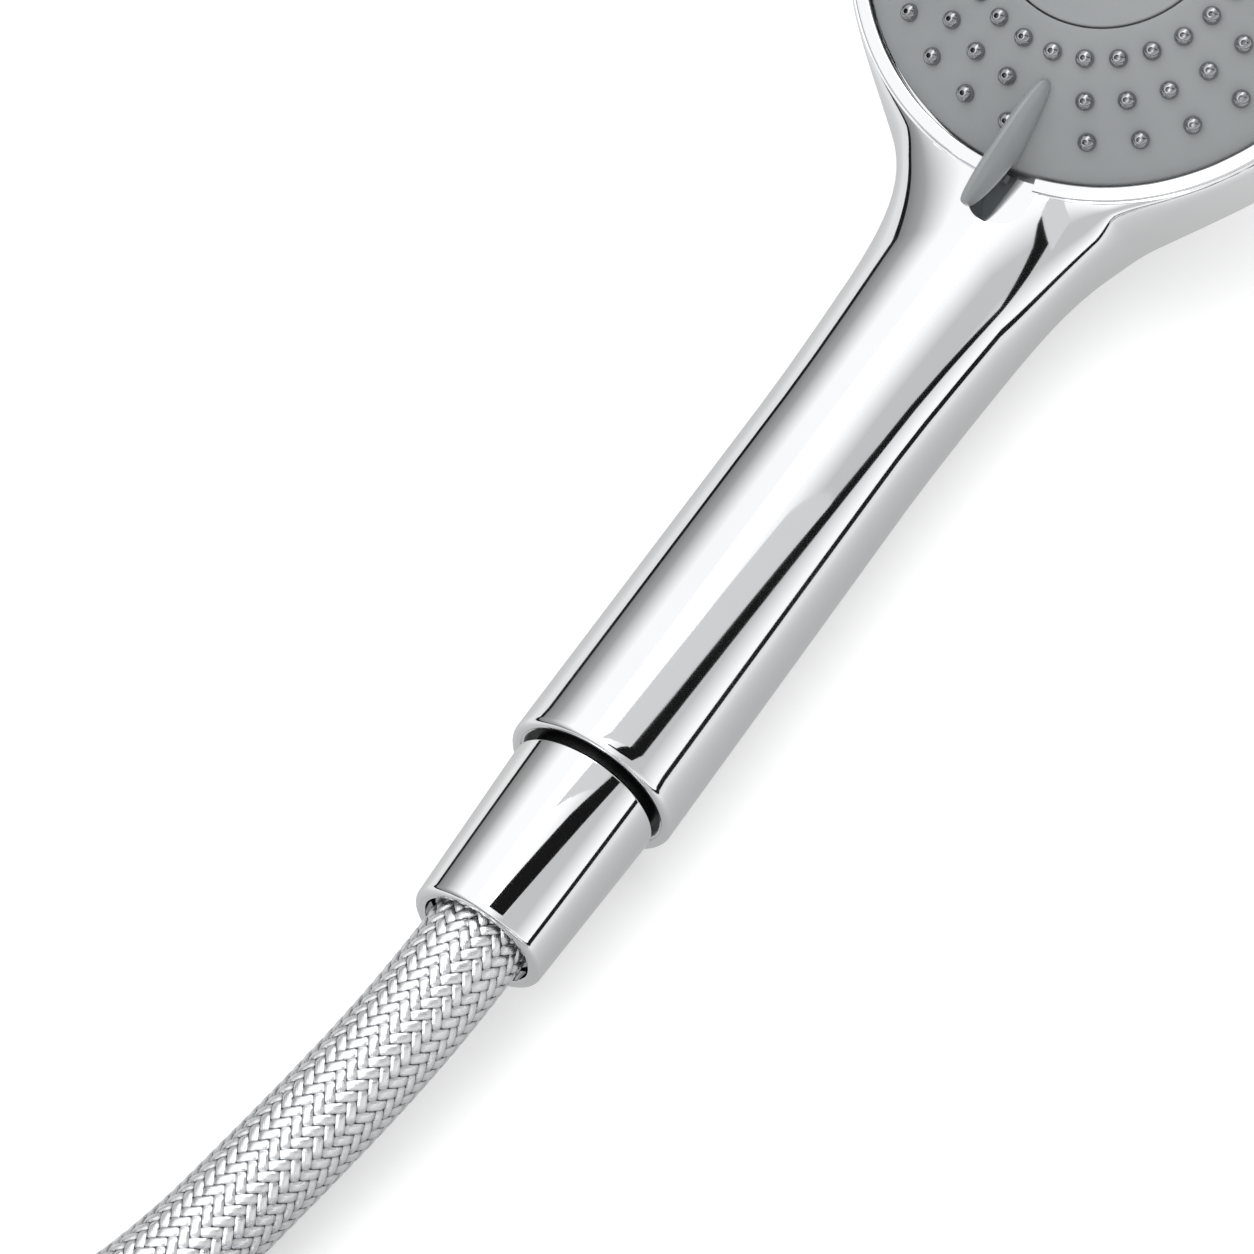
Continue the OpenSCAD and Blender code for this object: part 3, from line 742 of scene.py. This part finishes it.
def add_face():
    """Domed plate and its round cap, with a fine groove between them."""
    groove = CAP_R + 0.12
    edge_r = CAP_R - 0.12
    dome = [(r, dome_height(r)) for r in np.linspace(CAP_R + 0.45, PLATE_R - 0.9, 26)]
    lip = round_corners([(groove, 7, 0), (groove, dome_height(CAP_R) + 0.02, 0.3), dome[1] + (0,)])
    turn_down = PLATE_R - 1.6
    rim = round_corners([(turn_down, dome_height(turn_down), 0), (PLATE_R, 0.05, 0.7), (PLATE_R, -6, 0)])
    inside = [(PLATE_R - 2.4, -6), (PLATE_R - 2.4, -0.6), (30, 3.2), (groove, 6.0)]
    outline = lip[:-1] + [np.array(p) for p in dome[1:-2]] + rim[1:] + [np.array(p) for p in inside]
    plate = lathe("face_dome", outline, FACE, 224)
    finish_piece(plate, "selector", GREY, "grey_face", "face_plate")
    top = [(r, dome_height(r)) for r in np.linspace(0, CAP_R - 0.5, 14)]
    edge = round_corners([top[-1] + (0,), (edge_r, dome_height(edge_r), 0.28), (edge_r, 7.4, 0)])
    cap = lathe("cap_cover", [np.array(p) for p in top[:-1]] + edge + [np.array((0, 7.4))], FACE, 160)
    finish_piece(cap, "selector", GREY, "grey_face", "centre_cap")


add_face()

# Each ring of jets: node, radius, first angle, angle from first to last, number of jets.
NOZZLE_RINGS = [
    ("nozzles_inner", 23.8, 183.2, 360 - 360 / 28, 28), ("nozzles_middle", 30.0, 197.3, 334.3, 27),
    ("nozzles_outer", 35.8, 198.5, 338.3, 26)]
BEAD_R = 1.5
BEAD_SIDES = 24
# The beads lean outwards by this much of the dome's own slope.
BEAD_LEAN = 0.6


def bead_outline():
    """Section of one bead, from the bottom of its hole over its round top to its foot."""
    dome = [(BEAD_R * math.cos(a), 0.35 + BEAD_R * math.sin(a)) for a in np.linspace(1.24, -0.25, 12)]
    return [np.array(p) for p in [(0.36, 0.2), (0.36, 1.6), (0.41, 1.74)] + dome + [(BEAD_R, -1.2)]]


def add_beads():
    """Rings of round jet inserts, each with its hole painted near black as shade."""
    outline = bead_outline()
    n = len(outline)
    for node, radius, first, span, count in NOZZLE_RINGS:
        points, faces, dark = [], [], []
        tilt = math.asin(radius / DOME_R) * BEAD_LEAN
        for k in range(count):
            a = math.radians(first + span / (count - 1) * k)
            place = (Matrix.Rotation(a, 4, "Z")
                     @ Matrix.Translation((radius, 0, dome_height(radius)))
                     @ Matrix.Rotation(tilt, 4, "Y"))
            base = len(points)
            for s in range(BEAD_SIDES):
                b = 2 * math.pi * s / BEAD_SIDES
                points += [place @ Vector((r * math.cos(b), r * math.sin(b), z)) for r, z in outline]
            for s in range(BEAD_SIDES):
                c, d = base + s * n, base + (s + 1) % BEAD_SIDES * n
                for q in range(n - 1):
                    faces.append((c + q, d + q, d + q + 1, c + q + 1))
                    dark.append(1 if q == 0 else 0)
            faces.append(tuple(base + s * n for s in range(BEAD_SIDES)))
            dark.append(1)
            faces.append(tuple(base + s * n + n - 1 for s in range(BEAD_SIDES)))
            dark.append(0)
        beads = add_mesh(node + "_beads", points, faces, FACE)
        # The hole's wall and floor get the near-black painted shade.
        beads.data.polygons.foreach_set("material_index", dark)
        clean(beads)
        smooth(beads, 50)
        finish_piece(beads, "selector", [BEAD, JET_HOLE_SHADE], "nozzles", node)


add_beads()

# The lever from its inner to its outer end, and its width up its side as shares of height and base width.
LEVER_INNER, LEVER_OUTER = 28.0, 50.8
LEVER_STATIONS = 49
LEVER_SIDE = ((0, 0.94), (0.1, 1), (0.3, 0.97), (0.5, 0.86), (0.7, 0.68), (0.85, 0.5), (0.94, 0.34))
# Where the lever leaves the plate and stands over the ring and the pocket.
LEVER_OFF_PLATE = 41.3


def lever_section(r, fullness):
    """Points round the fin where it stands at radius r; fullness is 0 at its ends and 1 in its middle."""
    seat = dome_height(r) - 0.3 if r < LEVER_OFF_PLATE else 1.5 + 0.02 * (r - LEVER_OFF_PLATE) ** 2
    middle = 7.2 - 0.155 * (r - LEVER_INNER)
    crest = middle + 3.3 * fullness ** 0.85
    low = max(seat, middle - 6.5 * fullness ** 0.75)
    base = 0.05 + 2.0 * fullness ** 0.62
    top = 0.03 + 0.6 * fullness ** 0.6
    right = []
    for share, width in LEVER_SIDE:
        half = max(top, base * width) if share < 0.9 else max(top * 0.8, 0.02)
        right.append((half, low + (crest - low) * share))
    right += [(top * 0.45, crest - 0.05 * fullness), (0, crest)]
    # The fin stands a little askew to the radius.
    side = 0.75 - 0.165 * (r - 40)
    return [(r, side + y, z) for y, z in right] + [(r, side - y, z) for y, z in right[-2::-1]]


def add_lever():
    """Upright leaf-shaped fin, from the dome out over the finger pocket, on its foot."""
    middle, half = (LEVER_INNER + LEVER_OUTER) / 2, (LEVER_OUTER - LEVER_INNER) / 2
    rows = [lever_section(middle + half * math.cos(a), max(math.sin(a), 0.0))
            for a in np.linspace(math.pi, 0, LEVER_STATIONS)]
    n = len(rows[0])
    points = [p for row in rows for p in row]
    faces = tube_faces(len(rows), n)
    faces.append(tuple(range(n - 1, -1, -1)))
    faces.append(tuple((len(rows) - 1) * n + q for q in range(n)))
    turn = Matrix.Rotation(math.radians(LEVER_ANGLE), 4, "Z")
    fin = add_mesh("lever_fin", points, faces, FACE @ turn)
    clean(fin)
    smooth(fin, 40)
    foot_outline = round_corners([
        (40.6, -0.5, 0), (43.8, -0.5, 0), (43.8, 2.4, 0.3), (40.6, 2.4, 0)], closed=True)
    foot = lathe("lever_foot", foot_outline, FACE, 8, True, LEVER_ANGLE - 1.4, 2.8)
    lever = join("selector_fin", [fin, foot])
    finish_piece(lever, "selector", GREY_EDGE, "grey_face", "selector_lever")


add_lever()


# ------------------------------------------------------------------ the cone nut
def add_cone_nut():
    """Cone nut: wide at the handle, rolled in at the hose."""
    outline = round_corners([
        (10.55, -15.5, 0), (10.55, -0.2, 0), (11.5, 0, 0.2), (12.0, -0.5, 0.4), (10.87, -28.9, 1.0),
        (9.9, -29.5, 0.6), (8.9, -29.3, 0.3), (8.9, -15.5, 0)], closed=True)
    nut = lathe("cone_nut_skin", outline, HANDLE, 192)
    finish_piece(nut, "cone_nut", CHROME, "chrome_body", "conical_nut")


add_cone_nut()

# ------------------------------------------------------------------ pieces that keep their CAD shape
CARRIED = {
    "inner_plastic": NATURAL, "rubber_seals": RUBBER, "brass": BRASS, "steel": STEEL,
    "restrictor_plastic": GREEN, "valve_plastic": ORANGE, "chrome_body": CHROME, "grey_face": GREY,
    "nozzles": BEAD, "hose_braid": BRAID}
for subpart in frame["record"]["subparts"]:
    node = frame["nodes"].get(subpart["node"])
    if node is not None:
        for place in node.material_slots:
            place.material = CARRIED[subpart["material_slot"]]
# The inlet insert is painted near black: painted shade for the gap between the cone nut and the handle's lip.
for place in frame["nodes"]["inlet_insert"].material_slots:
    place.material = BRASS_PAINTED_SHADE


# ------------------------------------------------------------------ floor, cards and light
def emitter(name, strength):
    """Evenly glowing white."""
    material = bpy.data.materials.new(name)
    material.use_nodes = True
    tree = material.node_tree
    tree.nodes.clear()
    glow = tree.nodes.new("ShaderNodeEmission")
    glow.inputs["Color"].default_value = (1, 1, 1, 1)
    glow.inputs["Strength"].default_value = strength
    end = tree.nodes.new("ShaderNodeOutputMaterial")
    tree.links.new(glow.outputs[0], end.inputs["Surface"])
    return material


def add_card(name, corners, strength, near=None, faces=((0, 1, 2, 3),)):
    """A card that only reflections see, as in a studio: dark ones draw the bands on the chrome.

    A ground card is darker close to the object, from the near strength up to its own: painted shade, the
    floor's shadow beside the object as the chrome sees it.
    """
    card = add_mesh(name, [Vector(c) * MM + HANDLE_START for c in corners], faces)
    material = emitter(name, strength)
    # Painted shade: the strength falls to the near value close to the object.
    if near is not None:
        tree = material.node_tree
        place = tree.nodes.new("ShaderNodeTexCoord")
        parts = tree.nodes.new("ShaderNodeSeparateXYZ")
        ramp = tree.nodes.new("ShaderNodeMapRange")
        ramp.inputs["From Min"].default_value = 0.015
        ramp.inputs["From Max"].default_value = 0.1
        ramp.inputs["To Min"].default_value = near
        ramp.inputs["To Max"].default_value = strength
        tree.links.new(place.outputs["Object"], parts.inputs[0])
        away = Maths(tree)("ABSOLUTE", parts.outputs[1])
        tree.links.new(away, ramp.inputs["Value"])
        tree.links.new(ramp.outputs["Result"], tree.nodes["Emission"].inputs["Strength"])
    card.data.materials.append(material)
    card.visible_camera = False
    card.visible_diffuse = False
    card.visible_shadow = False


# The dark card's lower edge, a straight line: its place at share 0 and its change to share 1.
EDGE_START = Vector((190, -288, 208))
EDGE_STEP = Vector((117, -40, -128))
# Shares along that edge, and the card's far edge out (y) and up (z) from it.
DARK_STATIONS = [(-1.7, 204, 183), (-0.3, 112, 123), (0, 62, 74), (0.9, 11, 26), (1.25, 1, 2)]
PALE_CORNERS = [(-1.9, -40, -40), (-0.35, -40, -30), (-0.35, 150, 160), (-1.9, 245, 225)]
NECK_SIDE = Vector((FACE_X - 51, -11.3, 12.2))


def off_edge(share, out, up):
    """Point out and up from the dark card's lower edge."""
    return EDGE_START + EDGE_STEP * share + Vector((0, out, up))


def add_dark_card():
    """Dark strip, tapering down towards the head, that makes the black band along the handle."""
    points = []
    for share, out, up in DARK_STATIONS:
        points += [off_edge(share, 0, 0), off_edge(share, out, up)]
    faces = [(2 * k, 2 * k + 2, 2 * k + 3, 2 * k + 1) for k in range(len(DARK_STATIONS) - 1)]
    add_card("dark_card", points, 0.01, faces=faces)


def add_pale_card():
    """Small card near the neck, which keeps the wide part of the band off it."""
    corners = [NECK_SIDE + 0.3 * (off_edge(*corner) - NECK_SIDE) for corner in PALE_CORNERS]
    add_card("pale_card", corners, 0.75)


# The horizons and the ground reach from beyond the hose to beyond the head, just above the floor.
CARD_START, CARD_END = -900, 1500
LOWEST = -13.5
GROUND = -13.8


def add_horizon(name, y, top):
    """Dark upright strip along the handle: a thin dark line on the chrome."""
    add_card(name, [(CARD_START, y, LOWEST), (CARD_END, y, LOWEST), (CARD_END, y, top), (CARD_START, y, top)],
             0.012)


def add_ground(name, low, high, near):
    """Strip of floor as the chrome sees it, with painted shade near the object."""
    add_card(name, [(CARD_START, low, GROUND), (CARD_END, low, GROUND), (CARD_END, high, GROUND),
                    (CARD_START, high, GROUND)], 0.9, near)


def add_cards():
    add_dark_card()
    add_pale_card()
    add_horizon("left_horizon", 500, 40)
    add_horizon("right_horizon", -190, 9)
    add_card("overhead", [(-500, -110, 600), (900, -110, 600), (900, 150, 600), (-500, 150, 600)], 2.8)
    # The ground strips dim close to the object: painted shade.
    add_ground("left_ground", 0, 900, 0.55)
    add_ground("right_ground", -900, 0, 0.5)


add_cards()


def add_floor():
    """Plain pale floor that glows a little, so that it stays white behind the shadow."""
    floor = add_mesh("floor", [(-6, -6, 0), (6, -6, 0), (6, 6, 0), (-6, 6, 0)], [(0, 1, 2, 3)])
    material, tree, shader = new_material("pale_floor", (0.93, 0.93, 0.93), 0.0, 0.6)
    tree.links.new(spread(tree, object_noise(tree, 8), 0.55, 0.65), shader.inputs["Roughness"])
    shader.inputs["Emission Color"].default_value = (1, 1, 1, 1)
    shader.inputs["Emission Strength"].default_value = 0.3
    floor.data.materials.append(material)


add_floor()


def add_world():
    """White surroundings that darken towards the horizon behind the handle."""
    world = bpy.data.worlds.new("studio")
    bpy.context.scene.world = world
    world.use_nodes = True
    tree = world.node_tree
    sky = tree.nodes["Background"]
    direction = tree.nodes.new("ShaderNodeTexCoord")
    parts = tree.nodes.new("ShaderNodeSeparateXYZ")
    tree.links.new(direction.outputs["Generated"], parts.inputs[0])
    m = Maths(tree)
    angle = m("DIVIDE", m("ARCTAN2", parts.outputs[2], parts.outputs[1]), math.pi)
    ramp = tree.nodes.new("ShaderNodeValToRGB")
    tree.links.new(angle, ramp.inputs["Fac"])
    stops = [(0.0, 0.2), (0.12, 0.36), (0.28, 1.0), (0.58, 1.0), (0.71, 0.55), (0.84, 0.55), (0.97, 1.0)]
    ramp.color_ramp.elements[0].position = stops[0][0]
    ramp.color_ramp.elements[0].color = (stops[0][1],) * 3 + (1,)
    ramp.color_ramp.elements[1].position = stops[-1][0]
    ramp.color_ramp.elements[1].color = (stops[-1][1],) * 3 + (1,)
    for place, level in stops[1:-1]:
        ramp.color_ramp.elements.new(place).color = (level, level, level, 1)
    tree.links.new(ramp.outputs["Color"], sky.inputs["Color"])
    sky.inputs["Strength"].default_value = 1.15


add_world()


def add_light(name, place, target, size, power):
    """Soft round lamp, pointed at the target and not seen in reflections."""
    data = bpy.data.lights.new(name, "AREA")
    data.shape = "DISK"
    data.size = size
    data.energy = power
    light = bpy.data.objects.new(name, data)
    bpy.context.scene.collection.objects.link(light)
    light.location = place
    light.rotation_euler = (Vector(target) - Vector(place)).to_track_quat("-Z", "Y").to_euler()
    light.visible_glossy = False


add_light("key", (-0.3, 0.5, 1.3), (0, 0, 0), 1.2, 3)
bpy.context.scene.view_settings.view_transform = "Standard"
